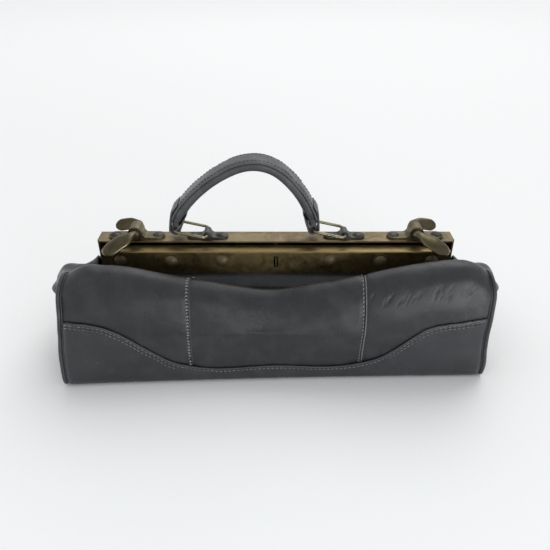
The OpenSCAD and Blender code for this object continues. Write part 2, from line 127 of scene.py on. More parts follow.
def new_object(name, verts, faces, materials, body, smooth_faces=True):
    """A mesh object that rides a body, or no body if none is given."""
    mesh = bpy.data.meshes.new(name)
    mesh.from_pydata([tuple(v) for v in verts], [], [tuple(f) for f in faces])
    bm = bmesh.new()
    bm.from_mesh(mesh)
    bmesh.ops.remove_doubles(bm, verts=bm.verts, dist=1e-6)
    bmesh.ops.recalc_face_normals(bm, faces=bm.faces)
    bm.to_mesh(mesh)
    bm.free()
    for m in materials:
        mesh.materials.append(m)
    for p in mesh.polygons:
        p.use_smooth = smooth_faces
    obj = bpy.data.objects.new(name, mesh)
    bpy.context.scene.collection.objects.link(obj)
    if body:
        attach(obj, body)
    return obj


def grid_faces(n, m, start=0, flip=False):
    """Quads between n rows of m points."""
    out = []
    for i in range(n - 1):
        for j in range(m - 1):
            a = start + i * m + j
            f = (a, a + 1, a + m + 1, a + m)
            out.append(f[::-1] if flip else f)
    return out


def outward(g):
    """1 if the grid's normals point away from the middle of the body, otherwise -1."""
    return np.sign((grid_normals(g) * (g - np.array([0, 0, 0.05]))).sum(2).mean())


EDGE_BULGE = 0.35       # how far a sheet's edge bead stands out, as a share of its thickness


def sheet_mesh(name, outer, thickness, materials, body, out_sign):
    """A sheet with rounded edges: the outer grid, the inner grid and a bead round the border."""
    n, m, _ = outer.shape
    normal = grid_normals(outer) * out_sign
    inner = outer - normal * thickness
    verts = list(outer.reshape(-1, 3)) + list(inner.reshape(-1, 3))
    faces = grid_faces(n, m) + grid_faces(n, m, n * m, True)
    edge = ([i * m for i in range(n)] + [(n - 1) * m + j for j in range(1, m)]
            + [i * m + m - 1 for i in range(n - 2, -1, -1)] + list(range(m - 2, 0, -1)))
    flat_out, flat_in = outer.reshape(-1, 3), inner.reshape(-1, 3)
    middle = []
    for k, e in enumerate(edge):
        before, after = edge[k - 1], edge[(k + 1) % len(edge)]
        along = flat_out[after] - flat_out[before]
        side = np.cross(along, normal.reshape(-1, 3)[e])
        side /= max(np.linalg.norm(side), 1e-12)
        i, j = divmod(e, m)
        toward = outer[min(max(i, 1), n - 2), min(max(j, 1), m - 2)] - flat_out[e]
        side = -side if side @ toward > 0 else side
        middle.append((flat_out[e] + flat_in[e]) / 2 + side * thickness * EDGE_BULGE)
    start = len(verts)
    verts += middle
    count = len(edge)
    for k in range(count):
        nxt = (k + 1) % count
        faces.append((edge[k], edge[nxt], start + nxt, start + k))
        faces.append((start + k, start + nxt, edge[nxt] + n * m, edge[k] + n * m))
    obj = new_object(name, verts, faces, materials, body)
    if len(materials) > 1:
        inner_points = {tuple(np.round(v, 5)) for v in flat_in}
        inside = [tuple(np.round(v.co, 5)) in inner_points for v in obj.data.vertices]
        for p in obj.data.polygons:
            if all(inside[v] for v in p.vertices):
                p.material_index = 1
    return obj


def round_edges(obj, width, degrees):
    edge = obj.modifiers.new("edge", "BEVEL")
    edge.width = width
    edge.segments = 2
    edge.limit_method = "ANGLE"
    edge.angle_limit = math.radians(degrees)


def bending_sheet(name, outer, thickness, materials, out_sign):
    """One surface, thickened inwards by a modifier, so that it stays right side out when it bends."""
    n, m, _ = outer.shape
    obj = new_object(name, list(outer.reshape(-1, 3)), grid_faces(n, m), materials, None)
    middle = obj.data.polygons[len(obj.data.polygons) // 2]
    wanted = (grid_normals(outer) * out_sign).reshape(-1, 3)[middle.vertices[0]]
    if Vector(wanted).dot(middle.normal) < 0:
        obj.data.flip_normals()
    skin = obj.modifiers.new("thickness", "SOLIDIFY")
    skin.thickness = thickness
    skin.offset = -1
    skin.material_offset = len(materials) - 1
    round_edges(obj, thickness * 0.3, 55)
    return obj


def tube_mesh(name, path, radius, material, sides):
    """A round cord along a path, with domed ends."""
    n = len(path)
    radius = np.broadcast_to(np.asarray(radius, float), (n,))
    verts, faces = [], []
    side = None
    for i in range(n):
        d = path[min(n - 1, i + 1)] - path[max(0, i - 1)]
        d = d / np.linalg.norm(d)
        if side is None:
            side = np.cross(d, (1, 0, 0) if abs(d[2]) > 0.9 else (0, 0, 1))
        side = side - d * (side @ d)
        side /= np.linalg.norm(side)
        other = np.cross(d, side)
        for k in range(sides):
            a = 2 * math.pi * k / sides
            verts.append(path[i] + radius[i] * (side * math.cos(a) + other * math.sin(a)))
    for i in range(n - 1):
        for k in range(sides):
            l = (k + 1) % sides
            faces.append((i * sides + k, i * sides + l, (i + 1) * sides + l, (i + 1) * sides + k))
    for i, d in ((0, path[0] - path[1]), (n - 1, path[-1] - path[-2])):
        tip = len(verts)
        verts.append(path[i] + d / np.linalg.norm(d) * radius[i] * 0.6)
        for k in range(sides):
            faces.append((i * sides + k, i * sides + (k + 1) % sides, tip))
    return new_object(name, verts, faces, [material], None)


LOST_STITCHES = 0.03    # share of stitches that have come out


def at_distance(values, along, where):
    """The row of values at a distance along a line."""
    return np.array([np.interp(where, along, values[:, k]) for k in range(3)])


def stitches(name, path, normals, pitch, length, width, material, body, node_slot, slant=0.0):
    """Short sewn stitches along a path, each a small rounded thread that dips in at both ends."""
    path, normals = np.array(path), np.array(normals)
    along = np.concatenate([[0], np.cumsum(np.linalg.norm(np.diff(path, axis=0), axis=1))])
    verts, faces = [], []
    rings, sides = 5, 6
    for c in np.arange(pitch / 2, along[-1] - pitch / 2, pitch):
        if rng.random() < LOST_STITCHES:
            continue
        reach = length * rng.uniform(0.88, 1.05)
        before, centre, after = (at_distance(path, along, c + step) for step in (-pitch / 2, 0, pitch / 2))
        d = (after - before) / np.linalg.norm(after - before)
        up = at_distance(normals, along, c)
        up = up - d * (up @ d)
        up /= np.linalg.norm(up)
        side = np.cross(d, up)
        way = d + side * (slant + rng.uniform(-0.06, 0.06))
        way /= np.linalg.norm(way)
        start = len(verts)
        for r in range(rings):
            t = r / (rings - 1) * 2 - 1
            thick = width / 2 * math.sqrt(max(0.12, 1 - t * t * 0.9))
            mid = centre + way * reach / 2 * t + up * (width * 0.32 * (1 - t * t) - width * 0.12)
            for k in range(sides):
                a = 2 * math.pi * k / sides
                verts.append(mid + thick * (np.cross(way, up) * math.cos(a) + up * math.sin(a)))
        for r in range(rings - 1):
            for k in range(sides):
                l = (k + 1) % sides
                faces.append((start + r * sides + k, start + r * sides + l,
                              start + (r + 1) * sides + l, start + (r + 1) * sides + k))
        faces.append([start + k for k in range(sides)][::-1])
        faces.append([start + (rings - 1) * sides + k for k in range(sides)])
    return new_object(name, verts, faces, [material], body)


# ---------- materials ----------

class Nodes:
    """Builds one material's node tree."""

    def __init__(self, name):
        self.material = bpy.data.materials.new(name)
        self.material.use_nodes = True
        self.tree = self.material.node_tree
        self.shader = self.tree.nodes["Principled BSDF"]
        self.place = self.new("ShaderNodeTexCoord").outputs["Object"]

    def new(self, kind, **values):
        node = self.tree.nodes.new(kind)
        for key, value in values.items():
            setattr(node, key, value)
        return node

    def link(self, a, b):
        self.tree.links.new(a, b)

    def noise(self, scale, detail, rough=0.55, distortion=0.0, place=None):
        node = self.new("ShaderNodeTexNoise")
        node.inputs["Scale"].default_value = scale
        node.inputs["Detail"].default_value = detail
        node.inputs["Roughness"].default_value = rough
        node.inputs["Distortion"].default_value = distortion
        self.link(place or self.place, node.inputs["Vector"])
        return node.outputs["Fac"]

    def cracks(self, scale, place=None):
        """Distance to the edges between cells."""
        node = self.new("ShaderNodeTexVoronoi", feature="DISTANCE_TO_EDGE")
        node.inputs["Scale"].default_value = scale
        self.link(place or self.place, node.inputs["Vector"])
        return node.outputs["Distance"]

    def stretched(self, x, y, z):
        node = self.new("ShaderNodeMapping")
        node.inputs["Scale"].default_value = (x, y, z)
        self.link(self.place, node.inputs["Vector"])
        return node.outputs["Vector"]

    def ramp(self, value, *stops):
        node = self.new("ShaderNodeValToRGB")
        ramp = node.color_ramp
        while len(ramp.elements) < len(stops):
            ramp.elements.new(0.5)
        for element, (at, colour) in zip(ramp.elements, stops):
            element.position = at
            element.color = (*colour, 1) if len(colour) == 3 else colour
        self.link(value, node.inputs["Fac"])
        return node.outputs["Color"]

    def grey(self, value, *stops):
        return self.ramp(value, *[(at, (v, v, v)) for at, v in stops])

    def mix(self, fac, a, b):
        node = self.new("ShaderNodeMix", data_type="RGBA", blend_type="MIX")
        for socket, value in ((node.inputs[0], fac), (node.inputs[6], a), (node.inputs[7], b)):
            if isinstance(value, (int, float)):
                socket.default_value = value
            elif isinstance(value, tuple):
                socket.default_value = (*value, 1)
            else:
                self.link(value, socket)
        return node.outputs[2]

    def times(self, a, b):
        node = self.new("ShaderNodeMath", operation="MULTIPLY")
        for socket, value in zip(node.inputs, (a, b)):
            if isinstance(value, (int, float)):
                socket.default_value = value
            else:
                self.link(value, socket)
        return node.outputs[0]

    def bump(self, height, distance, strength=1.0, below=None):
        node = self.new("ShaderNodeBump")
        node.inputs["Strength"].default_value = strength
        node.inputs["Distance"].default_value = distance
        self.link(height, node.inputs["Height"])
        if below is not None:
            self.link(below, node.inputs["Normal"])
        return node.outputs["Normal"]

    def wear(self, low_at, high_at):
        """1 on convex edges, from the mesh's own pointiness."""
        point = self.new("ShaderNodeNewGeometry").outputs["Pointiness"]
        return self.grey(point, (low_at, 0), (high_at, 1))

    def done(self, colour, rough, normal=None, **uniform):
        for value, name in ((colour, "Base Color"), (rough, "Roughness")):
            if isinstance(value, (int, float)):
                self.shader.inputs[name].default_value = value
            elif isinstance(value, tuple):
                self.shader.inputs[name].default_value = (*value, 1)
            else:
                self.link(value, self.shader.inputs[name])
        if normal is not None:
            self.link(normal, self.shader.inputs["Normal"])
        for name, value in uniform.items():
            self.shader.inputs[name.replace("_", " ")].default_value = value
        return self.material


def leather(name, dark, light, scuff, grain=1500):
    """Smooth dyed leather with pores, fine creases, scuffs and paler edges."""
    grain_depth = 0.00004
    n = Nodes(name)
    cloud = n.noise(9, 3, 0.6)
    blotch = n.noise(46, 5, 0.62)
    tone = n.mix(n.grey(cloud, (0.3, 0), (0.72, 1)), dark, light)
    tone = n.mix(n.grey(blotch, (0.45, 0), (0.75, 0.5)), tone, scuff)
    pores = n.cracks(grain)
    creases = n.cracks(grain * 0.28, n.stretched(1, 1, 0.55))
    fine_scratch = n.noise(240, 6, 0.75, 1.5, n.stretched(0.35, 1, 1.2))
    scratch = n.grey(fine_scratch, (0.66, 0), (0.74, 1))
    tone = n.mix(n.times(scratch, 0.35), tone, tuple(min(1, c * 2.6) for c in scuff))
    edge_wear = n.times(n.wear(0.515, 0.56), 0.55)
    tone = n.mix(edge_wear, tone, tuple(min(1, c * 2.2) for c in light))
    roughness = n.grey(n.noise(30, 4, 0.6), (0.3, 0.24), (0.7, 0.4))
    normal = n.bump(n.grey(pores, (0, 0), (0.22, 1)), grain_depth)
    normal = n.bump(n.grey(creases, (0, 0), (0.1, 1)), grain_depth * 0.9, 0.55, normal)
    normal = n.bump(n.noise(120, 5, 0.6), 0.0003, 0.5, normal)
    return n.done(tone, roughness, normal, Specular_IOR_Level=0.42)


def old_brass(name, dark, mid, spots, rough=(0.3, 0.55), metal=0.9, worn=None, top=None):
    """Tarnished metal: dark and mid tones in clouds, streaky spots, worn edges, and when top is given a
    painted highlight on faces that point up.
    """
    n = Nodes(name)
    cloud = n.noise(34, 6, 0.65, 0.4)
    streak = n.noise(70, 6, 0.7, 0.6, n.stretched(0.16, 1, 1))
    tone = n.ramp(cloud, (0.28, dark), (0.52, mid), (0.74, tuple(c * 1.25 for c in mid)))
    tone = n.mix(n.grey(streak, (0.55, 0), (0.72, 0.7)), tone, spots)
    fleck = n.noise(420, 5, 0.7)
    tone = n.mix(n.grey(fleck, (0.62, 0), (0.74, 0.7)), tone, tuple(c * 0.35 for c in dark))
    if worn:
        tone = n.mix(n.wear(0.52, 0.6), tone, worn)
    # top: a lighter colour painted on faces that point up, broken by streaks; a painted highlight for the
    # sky's reflection on top faces
    if top:
        facing = n.new("ShaderNodeSeparateXYZ")
        n.link(n.new("ShaderNodeNewGeometry").outputs["Normal"], facing.inputs[0])
        painted_top_sheen = n.mix(n.grey(streak, (0.4, 0), (0.62, 0.8)), top, tuple(c * 0.55 for c in top))
        tone = n.mix(n.grey(facing.outputs["Z"], (0.3, 0), (0.85, 1)), tone, painted_top_sheen)
    roughness = n.grey(n.noise(150, 5, 0.6), (0.3, rough[0]), (0.7, rough[1]))
    normal = n.bump(n.noise(300, 6, 0.65), 0.00025, 0.5)
    normal = n.bump(cloud, 0.0008, 0.35, normal)
    return n.done(tone, roughness, normal, Metallic=metal)


def fabric(name, colour):
    """Plain woven cloth."""
    n = Nodes(name)
    warp = n.new("ShaderNodeTexWave", wave_type="BANDS", bands_direction="X")
    weft = n.new("ShaderNodeTexWave", wave_type="BANDS", bands_direction="Z")
    for wave in (warp, weft):
        wave.inputs["Scale"].default_value = 420
        n.link(n.place, wave.inputs["Vector"])
    weave = n.times(warp.outputs["Fac"], weft.outputs["Fac"])
    tone = n.mix(n.grey(n.noise(18, 5), (0.35, 0), (0.7, 1)), colour, tuple(c * 0.6 for c in colour))
    tone = n.mix(n.times(weave, 0.4), tone, tuple(min(1, c * 1.5) for c in colour))
    return n.done(tone, 0.92, n.bump(weave, 0.0003, 0.7), Sheen_Weight=0.25)


def thread_material(name, colour):
    """Twisted sewing thread."""
    n = Nodes(name)
    twist = n.new("ShaderNodeTexWave", wave_type="BANDS", bands_direction="DIAGONAL")
    twist.inputs["Scale"].default_value = 900
    n.link(n.place, twist.inputs["Vector"])
    tone = n.mix(n.grey(n.noise(60, 4), (0.35, 0), (0.7, 1)), colour, tuple(c * 0.45 for c in colour))
    return n.done(tone, 0.8, n.bump(twist.outputs["Fac"], 0.0002, 0.6))


BLACK = (0.012, 0.0125, 0.0138)
CHARCOAL = (0.019, 0.0197, 0.022)
GREY_SCUFF = (0.045, 0.046, 0.049)
mat_leather = leather("leather_body", BLACK, CHARCOAL, GREY_SCUFF)
mat_band = leather("leather_band", (0.018, 0.0185, 0.0205), (0.028, 0.0288, 0.0325), (0.05, 0.05, 0.054))
mat_piping = leather("leather_piping", (0.014, 0.014, 0.015), (0.024, 0.024, 0.026), (0.07, 0.07, 0.07), 1900)
mat_handle = leather("leather_handle", (0.03, 0.031, 0.033), (0.05, 0.051, 0.053), (0.12, 0.12, 0.12), 1700)
mat_lining = fabric("lining_fabric", (0.2, 0.165, 0.12))
mat_thread = thread_material("thread", (0.33, 0.32, 0.30))
mat_band_thread = thread_material("band_thread", (0.27, 0.262, 0.245))
mat_dark_thread = thread_material("thread_dark", (0.06, 0.06, 0.062))
mat_edge = leather("leather_cut_edge", (0.055, 0.055, 0.056), (0.085, 0.084, 0.082), (0.15, 0.148, 0.14))
mat_plate = old_brass("brass_plate", (0.085, 0.06, 0.032), (0.215, 0.168, 0.092), (0.15, 0.07, 0.04))
# top= paints the front frame's upward faces lighter: a painted highlight, not a different metal colour
mat_face = old_brass("brass_face", (0.055, 0.04, 0.018), (0.15, 0.112, 0.05), (0.16, 0.09, 0.04),
                     top=(0.3, 0.225, 0.095))
mat_clip = old_brass("brass_clip", (0.032, 0.026, 0.014), (0.085, 0.071, 0.038), (0.07, 0.05, 0.028),
                     (0.2, 0.4), worn=(0.5, 0.45, 0.28))
mat_clip_strap = old_brass("brass_clip_strap", (0.06, 0.05, 0.028), (0.15, 0.125, 0.072), (0.1, 0.062, 0.038))
mat_strap = old_brass("brass_strap", (0.04, 0.041, 0.036), (0.09, 0.092, 0.082), (0.06, 0.064, 0.055))
mat_ring = old_brass("brass_ring", (0.1, 0.09, 0.055), (0.25, 0.225, 0.145), (0.14, 0.12, 0.08), (0.2, 0.4))
mat_rivet = old_brass("brass_rivet", (0.03, 0.024, 0.011), (0.085, 0.064, 0.03), (0.08, 0.052, 0.026),
                      (0.42, 0.55), 0.4)
mat_dome = old_brass("dome_dark", (0.03, 0.027, 0.022), (0.07, 0.063, 0.052), (0.05, 0.042, 0.034))
mat_steel = old_brass("steel_dull", (0.05, 0.048, 0.044), (0.12, 0.115, 0.105), (0.09, 0.06, 0.04))


# ---------- CAD pieces that are kept ----------

# material, width of the rounded edges and nodes
CAD_FINISHES = (
    (mat_plate, 0.0006, ("rear_frame",)),
    (mat_face, 0.0009, ("front_frame",)),
    (mat_face, 0.0003, ("front_rivet_washers",)),
    (mat_rivet, 0, ("front_face_rivets", "rear_face_rivets")),
    (mat_dome, 0, ("clip_saddle_rivets", "handle_saddle_rivets")),
    (mat_steel, 0.0004, ("rear_clamp_strip", "front_clamp_strip")),
    (mat_steel, 0.0003, ("lock_staple", "hinge_pin_left", "hinge_pin_right")),
    (mat_clip_strap, 0.0007, ("clip_saddle_left", "clip_saddle_right")),
    (mat_strap, 0.0006, ("handle_saddle_left", "handle_saddle_right")),
    (mat_ring, 0, ("ring_left", "ring_right")),
    (mat_lining, 0, ("base_board",)),
)


def finish_cad(name, material, bevel):
    """Gives a kept CAD piece its material and rounded edges."""
    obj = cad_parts[name]
    for slot in obj.material_slots:
        slot.material = material
    if not obj.material_slots:
        obj.data.materials.append(material)
    if bevel:
        round_edges(obj, bevel, 40)


for material, bevel, names in CAD_FINISHES:
    for name in names:
        finish_cad(name, material, bevel)


# ---------- leather body surfaces ----------

# height of the front roll's ridge along the bag
RIDGE = [(-0.229, 0.113), (-0.222, 0.121), (-0.212, 0.128), (-0.181, 0.1295), (-0.092, 0.1115),
         (-0.052, 0.1040), (-0.013, 0.0990), (0.03, 0.1045), (0.091, 0.1175), (0.131, 0.1265),
         (0.184, 0.1345), (0.203, 0.1335), (0.217, 0.128), (0.225, 0.1205), (0.230, 0.113)]
# front bottom edge: further forward at the left
FRONT_FOOT = [(-0.233, -0.0985), (-0.1, -0.0915), (0, -0.0875), (0.233, -0.0825)]
# half length of the body at each height, for the left and right end
LEFT_END = [(0, 0.2285), (0.024, 0.2295), (0.045, 0.229), (0.06, 0.227), (0.085, 0.2235), (0.11, 0.2235),
            (0.13, 0.219)]
RIGHT_END = [(0, 0.2275), (0.015, 0.2285), (0.044, 0.2245), (0.066, 0.2225), (0.087, 0.223), (0.11, 0.224),
             (0.13, 0.221)]
PROFILE_N = 132         # points along a profile


def front_profile(x):
    """Outer surface of the front at x, as points [y, z] from the base over the roll to the frame."""
    ridge = float(curve_through(RIDGE, x))
    foot = float(curve_through(FRONT_FOOT, x))
    wall = -0.0875 - 0.0015 * math.sin(x * 21)
    top = ridge - 0.034
    valley = 0.083 + 0.10 * (ridge - 0.099)
    end = smooth(0.193, 0.222, abs(x))
    hold = FACE_BOTTOM + 0.0045 * (1 - end) - 0.002 * end
    return catmull([
        (foot + 0.006, 0.0026), (foot + 0.0012, 0.0045), (foot, 0.011),
        (wall * 0.45 + foot * 0.55, 0.032), (wall, 0.058), (wall - 0.0005, max(0.064, top - 0.012)),
        (wall + 0.0030, top + 0.005), (-0.0765, ridge - 0.0115), (-0.0670, ridge - 0.0025), (-0.0575, ridge),
        (-0.0500, ridge - 0.0030), (-0.0445, ridge - 0.0105 - 0.10 * (ridge - 0.099)),
        (-0.0365, valley + 0.0015), (-0.0290, valley + 0.0005), (-0.0225, valley + 0.0045),
        (-0.0182, 0.0925), (-0.01615, hold)], PROFILE_N)


def back_profile(x):
    """Outer surface of the back, hanging in one sagging slope from the rear frame."""
    end = float(smooth(0.12, 0.222, abs(x)))
    fold = 0.092 - 0.021 * end + 0.002 * math.sin(x * 33)
    hold = 0.101 - 0.014 * float(smooth(0.193, 0.222, abs(x)))
    return catmull([
        (0.080, 0.0026), (0.0848, 0.0045), (0.0862, 0.011), (0.0880, 0.026), (0.0868, 0.043),
        (0.0800, 0.058 - 0.002 * end), (0.0660, 0.0735 - 0.007 * end), (0.0480, fold - 0.007 - 0.001 * end),
        (0.0340, fold - 0.001), (0.0250, fold - 0.002 + 0.004 * end), (0.0190, 0.0915 - 0.008 * end),
        (0.01615, hold)], PROFILE_N)


def end_half(z, side):
    """Half length of the body at height z, on the side with that sign."""
    return curve_through(LEFT_END if side < 0 else RIGHT_END, z)


def body_surface(profile, shares):
    """Points for shares of the way along the bag, from -1 (left end) to 1 (right end)."""
    columns = []
    for share in shares:
        p = profile(share * BODY_HALF)
        drawn_in = 1 - smooth(0.022, 0.060, np.abs(p[:, 0]))
        half = end_half(p[:, 1], share) * (1 - drawn_in) + (FRAME_END + 0.0006) * drawn_in
        x = np.full(len(p), share * BODY_HALF)
        if abs(share) > SEAM_SHARE:
            across = (abs(share) - SEAM_SHARE) / (1 - SEAM_SHARE)
            x = np.sign(share) * (SEAM_X + (half - SEAM_X) * across)
        columns.append(np.column_stack([x, p]))
    return np.array(columns)


def crease_field(g):
    """Short slanting creases pressed into the leather near the right end of the roll."""
    depth = np.zeros(g.shape[:2])
    pick = np.random.default_rng(21)
    for _ in range(26):
        cx = pick.uniform(0.098, 0.2)
        cz = 0.1005 + (cx - 0.098) * 0.13 + pick.normal() * 0.0028
        length = pick.uniform(0.0028, 0.0065)
        angle = math.radians(pick.uniform(48, 74))
        u = (g[..., 0] - cx) * math.cos(angle) + (g[..., 2] - cz) * math.sin(angle)
        v = -(g[..., 0] - cx) * math.sin(angle) + (g[..., 2] - cz) * math.cos(angle)
        front = g[..., 1] < -0.06
        depth += front * np.exp(-((u / length) ** 2) - (v / 0.0010) ** 2) * pick.uniform(0.4, 1.0)
    return -0.0007 * np.clip(depth, 0, 1.4)


def relief(g):
    """Slow waves, small buckles and creases of soft leather, as an outward offset."""
    slow = noise(g, 0.16, 3) * 0.0011
    middle = noise(g * np.array([1, 1, 1.6]), 0.05, 4) * 0.00042
    small = noise(g, 0.018, 5) * 0.00012
    return slow + middle + small + crease_field(g)


def pinned(g):
    """1 away from the held edges, falling to 0 at the frame and the base."""
    along = np.linspace(0, 1, g.shape[1])[None, :]
    return smooth(0, 0.06, along) * (1 - smooth(0.86, 0.97, along)) * np.ones((g.shape[0], 1))


def seam_dip(shares, where):
    """The panel's edge sinks a little along a seam."""
    near = np.abs(np.asarray(shares)[:, None] - where) * BODY_HALF
    return -0.0011 * np.exp(-((near / 0.0028) ** 2)) - 0.0009 * np.exp(-((near / 0.013) ** 2))


def side_sign(profile):
    return 1.0 if profile is front_profile else -1.0


def soft_surface(profile, shares):
    """The body surface with waves and creases, dipping at the two seams."""
    g = body_surface(profile, shares)
    normal = grid_normals(g) * side_sign(profile)
    dips = seam_dip(shares, -SEAM_SHARE) + seam_dip(shares, SEAM_SHARE)
    return g + normal * ((relief(g) + dips) * pinned(g))[..., None]


def bend(obj, front):
    """Unparents a leather piece and bakes its placement into its mesh, the same for the front and the back.
    """
    obj.parent = None
    if front:
        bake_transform(obj)
    else:
        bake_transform(obj)


# shares along the bag where each panel starts and ends, and its columns
PANELS = {
    "left": (-1.0, -SEAM_SHARE - SEAM_GAP, 64),
    "centre": (-SEAM_SHARE + SEAM_GAP, SEAM_SHARE - SEAM_GAP, 84),
    "right": (SEAM_SHARE + SEAM_GAP, 1.0, 110),
}


def soft_sheet(front, name, g, materials, out_sign):
    """A sheet of the body: the front folds behind its band and the back in the open, so they differ."""
    if front:
        return sheet_mesh(name, g, LEATHER_T, materials, None, out_sign)
    return bending_sheet(name, g, LEATHER_T, materials, out_sign)


def make_panels(front):
    profile = front_profile if front else back_profile
    word = "front" if front else "back"
    for name, (a, b, count) in PANELS.items():
        g = soft_surface(profile, np.linspace(a, b, count))
        leather_sides = [mat_leather, mat_lining]
        obj = soft_sheet(front, f"{word}_panel_{name}_leather", g, leather_sides, side_sign(profile))
        bend(obj, front)
        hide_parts(f"{word}_panel_{name}")


make_panels(True)
make_panels(False)


# ---------- base wrap and its bands ----------

# height of the front band's upper edge along the bag
FRONT_BAND = [(-0.236, 0.0805), (-0.21, 0.079), (-0.185, 0.0745), (-0.166, 0.0655), (-0.148, 0.0535),
              (-0.128, 0.0400), (-0.11, 0.0285), (-0.09, 0.0225), (0, 0.0210), (0.088, 0.0230),
              (0.108, 0.0300), (0.126, 0.0425), (0.145, 0.0590), (0.158, 0.0690), (0.173, 0.0745),
              (0.195, 0.0785), (0.236, 0.0850)]
WRAP_REACH = 0.985      # the wrap stops just short of the end piping
DOUBLE_ROW = (-0.108, 0.118)     # the band has a second row of stitches beyond these


def band_height(x, front):
    """Height of the base wrap's upper edge at x."""
    if front:
        return float(curve_through(FRONT_BAND, x))
    return 0.0175 + 0.022 * float(smooth(0.08, 0.19, abs(x)))


def outer_line(profile, x, height, count, lift):
    """The outer path of the base wrap at x: from its upper edge down to the base's corner."""
    fine = resample(profile(x), 400)
    up = int(np.argmax(fine[:, 1] > height))
    part = resample(fine[:up + 1], count)
    d = np.gradient(part, axis=0)
    n = np.stack([d[:, 1], -d[:, 0]], 1)
    n /= np.linalg.norm(n, axis=1, keepdims=True)
    n *= -side_sign(profile) * np.sign(n[count // 2, 0])
    part = part + n * lift
    part[:, 1] = np.maximum(part[:, 1], 0.0002)
    return part


def wrap_grid(shares, lift):
    """The base wrap as one sheet: front band, bottom and back band."""
    wall_n, floor_n = 30, 24
    columns = []
    for share in shares:
        x = share * BODY_HALF
        front = outer_line(front_profile, x, band_height(x, True), wall_n, lift)[::-1]
        back = outer_line(back_profile, x, band_height(x, False), wall_n, lift)
        front[-1], back[0] = (front[-2, 0] + 0.0035, 0.0), (back[1, 0] - 0.0035, 0.0)
        floor_y = np.linspace(front[-1, 0], back[0, 0], floor_n)[1:-1]
        p = np.vstack([front, np.column_stack([floor_y, np.zeros(floor_n - 2)]), back])
        px = np.sign(share) * end_half(p[:, 1], share) * abs(share)
        columns.append(np.column_stack([px, p]))
    return np.array(columns)


def wrap_relief(g):
    """The body's waves without its creases, fading out towards the floor."""
    lifted = smooth(0.004, 0.02, g[..., 2])
    return (relief(g) - crease_field(g)) * lifted


def make_wrap():
    """Builds the base wrap and returns its outer grid and normals."""
    g = wrap_grid(np.linspace(-WRAP_REACH, WRAP_REACH, 120), BAND_LIFT)
    normal = grid_normals(g) * outward(g)
    g = g + normal * wrap_relief(g)[..., None]
    g[..., 2] = np.maximum(g[..., 2], 0)
    obj = sheet_mesh("base_wrap_leather", g, BAND_T, [mat_band], "bag", outward(g))
    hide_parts("base_wrap")
    return g, normal


def band_rows(wrap, wrap_normal):
    """Stitches under the front band's upper edge, double on its raised ends, and one row behind."""
    near_edge = 12
    rows = (("front_edge", 0.0020, True, -1, 1), ("front_left", 0.0058, True, -1, DOUBLE_ROW[0]),
            ("front_right", 0.0058, True, DOUBLE_ROW[1], 1), ("back_edge", 0.0022, False, -1, 1))
    for word, depth, front, left, right in rows:
        line, ups = [], []
        for column, up in zip(wrap, wrap_normal):
            if not left <= column[0, 0] <= right:
                continue
            if not front:
                column, up = column[::-1], up[::-1]
            steps = np.linalg.norm(np.diff(column[:near_edge], axis=0), axis=1)
            fall = np.concatenate([[0], np.cumsum(steps)])
            line.append(at_distance(column[:near_edge], fall, depth))
            ups.append(at_distance(up[:near_edge], fall, depth))
        line, ups = np.array(line), np.array(ups)
        line = line + ups * 0.0003 + noise(line, 0.03, 51)[:, None] * np.array([0, 0, 0.0003])
        stitches(f"band_stitches_{word}", line, ups, 0.0047, 0.0031, 0.00095, mat_band_thread, "bag",
                 "leather", slant=0.12)


band_rows(*make_wrap())


# ---------- seams between the panels ----------

def seam_line(profile, where, from_height, count):
    """Points and outward normals along a seam, from the band's edge over the roll to the frame."""
    g = soft_surface(profile, np.array([where - 0.01, where, where + 0.01]))
    normal = grid_normals(g) * side_sign(profile)
    first = int(np.argmax(g[1][:, 2] > from_height))
    up = normal[1][first:-6]
    even = np.linspace(0, 1, count)
    up = np.stack([np.interp(even, np.linspace(0, 1, len(up)), up[:, c]) for c in range(3)], 1)
    return resample(g[1][first:-6], count), up


# for each seam: welt radius and material, stitch pitch and thread width, and the offset and slant of each row
SEAM_STYLES = {
    "left": (0.0012, mat_piping, 0.0037, 0.0014, ((-0.0012, 0.75), (-0.0004, -0.75))),
    "right": (0.0010, mat_edge, 0.0045, 0.0010, ((-0.0016, 0.3),)),
}


def make_seams(front):
    """Crossed stitches over a welt at the left seam, and one row beside a raised edge at the right."""
    count = 120
    profile = front_profile if front else back_profile
    word = "front" if front else "back"
    for side_name, share in (("left", -SEAM_SHARE), ("right", SEAM_SHARE)):
        radius, material, pitch, width, rows = SEAM_STYLES[side_name]
        line, up = seam_line(profile, share, band_height(share * BODY_HALF, front) - 0.002, count)
        line = line + np.sin(np.linspace(0, 13, count) + share * 9)[:, None] * np.array([0.0004, 0, 0])
        beside = line + np.array([0.0014, 0, 0]) - up * 0.0003
        welt = tube_mesh(f"{word}_seam_edge_{side_name}", beside, radius, material, 10)
        bend(welt, front)
        for k, (off, slant) in enumerate(rows):
            row = line + up * 0.0007 + np.array([off, 0, 0])
            obj = stitches(f"{word}_seam_stitches_{side_name}_{k + 1}", row, up, pitch, 0.0031, width,
                           mat_thread, None, "leather", slant=slant)
            bend(obj, front)


make_seams(True)
make_seams(False)


# ---------- end folds and piping ----------

# middle line of an end fold: distance from the bag's centre, and height
FOLD = [(0.2265, 0.003), (0.2310, 0.022), (0.2350, 0.045), (0.2400, 0.066), (0.2470, 0.081), (0.2500, 0.0885),
        (0.2450, 0.0945), (0.2340, 0.0950), (0.2220, 0.0965), (0.2110, 0.1020), (0.2035, 0.1085)]
EAR_Z = 0.0745          # the fold sticks out most at this height


def corner_line(profile, side):
    """End column of a panel surface, in three dimensions."""
    return body_surface(profile, [side * 0.999])[0]


